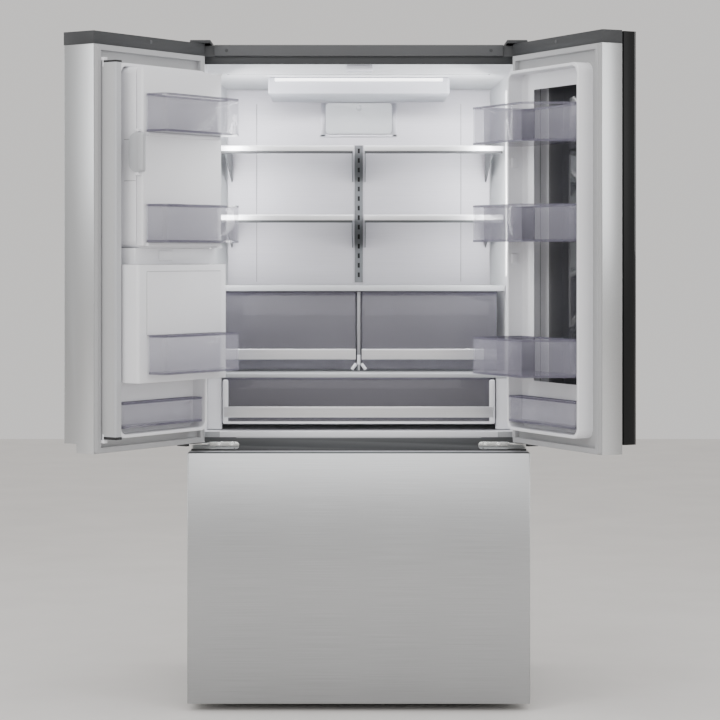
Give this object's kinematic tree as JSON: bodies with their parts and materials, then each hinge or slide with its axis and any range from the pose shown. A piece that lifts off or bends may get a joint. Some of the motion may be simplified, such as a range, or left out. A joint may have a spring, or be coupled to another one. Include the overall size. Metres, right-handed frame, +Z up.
{
  "type": "french door refrigerator",
  "caption": "French door refrigerator with open side-hinged doors, inner door baskets, split glass shelves, crispers and a freezer drawer below.",
  "frame": {"origin": "floor level, middle of the width, in the plane of the closed door and drawer fronts", "axes": "+X to the right seen from the front, +Y to the rear, +Z up; the doors stand open at rest"},
  "size_m": [1.45, 1.0673, 1.784],
  "materials": {
    "steel": "satin",
    "case_paint": "satin",
    "zinc": "satin",
    "liner": "satin",
    "dark_plastic": "matte",
    "light_plastic": "satin",
    "black_glass": "gloss",
    "shelf_glass": "gloss",
    "clear_bin": "gloss",
    "satin_bar": "satin",
    "lamp": "gloss",
    "gasket": "matte",
    "duct_metal": "satin",
    "black_rubber": "matte",
    "compressor_black": "satin",
    "fin_metal": "satin",
    "valve_plastic": "matte",
    "grey_plastic": "satin"
  },
  "bodies": {
    "cabinet": {"outer_case": "case_paint", "rear_covers": "case_paint", "base_pan": "zinc", "front_feet": "black_rubber", "front_frame": "case_paint", "cross_rail": "dark_plastic", "top_trim_bar": "grey_plastic", "hinge_covers": "dark_plastic", "door_hinges": "zinc", "fridge_liner": "liner", "freezer_liner": "liner", "duct_panels": "duct_metal", "filter_cover": "liner", "ceiling_fittings": "liner", "lamp_lenses": "lamp", "shelf_supports": "grey_plastic", "shelf_glass": "shelf_glass", "shelf_trims": "satin_bar", "crisper_cover": "shelf_glass", "crisper_frame": "light_plastic", "slide_rails": "light_plastic", "compressor": "compressor_black", "condenser": "compressor_black", "evaporator": "fin_metal", "water_valve": "valve_plastic"},
    "rollers": {"rear_rollers": "black_rubber"},
    "cond_fan": {"condenser_fan": "dark_plastic"},
    "evap_fan": {"evaporator_fan": "dark_plastic"},
    "crisper_right": {"right_crisper": "clear_bin", "right_crisper_bar": "satin_bar"},
    "crisper_left": {"left_crisper": "clear_bin", "left_crisper_bar": "satin_bar"},
    "pantry": {"pantry_drawer": "clear_bin", "pantry_bar": "satin_bar"},
    "freezer_drawer": {"freezer_front": "steel", "freezer_inner": "light_plastic", "freezer_gasket": "gasket", "freezer_bin": "clear_bin", "freezer_slides": "zinc"},
    "freezer_tray": {"freezer_basket": "clear_bin"},
    "left_door": {"left_door_skin": "steel", "left_door_caps": "dark_plastic", "left_door_liner": "liner", "left_door_gasket": "gasket", "ice_box": "liner", "ice_maker": "light_plastic", "left_baskets": "clear_bin", "dispenser_housing": "liner", "dispenser_recess": "dark_plastic"},
    "flap": {"mullion_flap": "light_plastic"},
    "ice_room_door": {"ice_door": "liner", "ice_door_baskets": "clear_bin"},
    "latch": {"ice_latch": "light_plastic"},
    "paddle": {"dispenser_paddle": "grey_plastic"},
    "right_door": {"right_door_skin": "steel", "right_door_caps": "dark_plastic", "right_door_glass": "black_glass", "right_door_liner": "liner", "right_door_gasket": "gasket", "right_baskets": "clear_bin"}
  },
  "joints": [
    {"name": "left_door_hinge", "type": "hinge", "parent": "cabinet", "child": "left_door", "pos_m": [-0.439, 0.0785, 1.24], "axis": [0, 0, -1], "range_deg": [-124.35, 9]},
    {"name": "right_door_hinge", "type": "hinge", "parent": "cabinet", "child": "right_door", "pos_m": [0.439, 0.0785, 1.24], "axis": [0, 0, 1], "range_deg": [-115.84, 17.5]},
    {"name": "mullion_fold", "type": "hinge", "parent": "left_door", "child": "flap", "pos_m": [-0.64359, -0.28555, 1.22], "axis": [0, 0, 1], "range_deg": [-90, 0]},
    {"name": "ice_door_hinge", "type": "hinge", "parent": "left_door", "child": "ice_room_door", "pos_m": [-0.37403, -0.02404, 1.456], "axis": [0, 0, 1], "range_deg": [0, 85]},
    {"name": "ice_latch_pivot", "type": "hinge", "parent": "ice_room_door", "child": "latch", "pos_m": [-0.55701, -0.29179, 1.467], "axis": [0, 0, 1], "range_deg": [0, 6], "stiffness_Nm_per_rad": 0.4},
    {"name": "paddle_pivot", "type": "hinge", "parent": "left_door", "child": "paddle", "pos_m": [-0.57147, -0.06837, 1.232], "axis": [-0.5642, -0.8256, 0], "range_deg": [0, 6], "stiffness_Nm_per_rad": 0.6},
    {"name": "left_crisper_slide", "type": "slide", "parent": "cabinet", "child": "crisper_left", "axis": [0, -1, 0], "range_m": [0, 0.26]},
    {"name": "right_crisper_slide", "type": "slide", "parent": "cabinet", "child": "crisper_right", "axis": [0, -1, 0], "range_m": [0, 0.26]},
    {"name": "pantry_slide", "type": "slide", "parent": "cabinet", "child": "pantry", "axis": [0, -1, 0], "range_m": [0, 0.33]},
    {"name": "freezer_slide", "type": "slide", "parent": "cabinet", "child": "freezer_drawer", "axis": [0, -1, 0], "range_m": [0, 0.4]},
    {"name": "freezer_tray_slide", "type": "slide", "parent": "freezer_drawer", "child": "freezer_tray", "axis": [0, 1, 0], "range_m": [0, 0.12]},
    {"name": "roller_spin", "type": "hinge", "parent": "cabinet", "child": "rollers", "pos_m": [0, 0.665, 0.017], "axis": [1, 0, 0], "continuous": true},
    {"name": "condenser_fan_spin", "type": "hinge", "parent": "cabinet", "child": "cond_fan", "pos_m": [-0.06, 0.63, 0.14], "axis": [1, 0, 0], "continuous": true},
    {"name": "evaporator_fan_spin", "type": "hinge", "parent": "cabinet", "child": "evap_fan", "pos_m": [0, 0.625, 0.622], "axis": [0, 1, 0], "continuous": true}
  ]
}
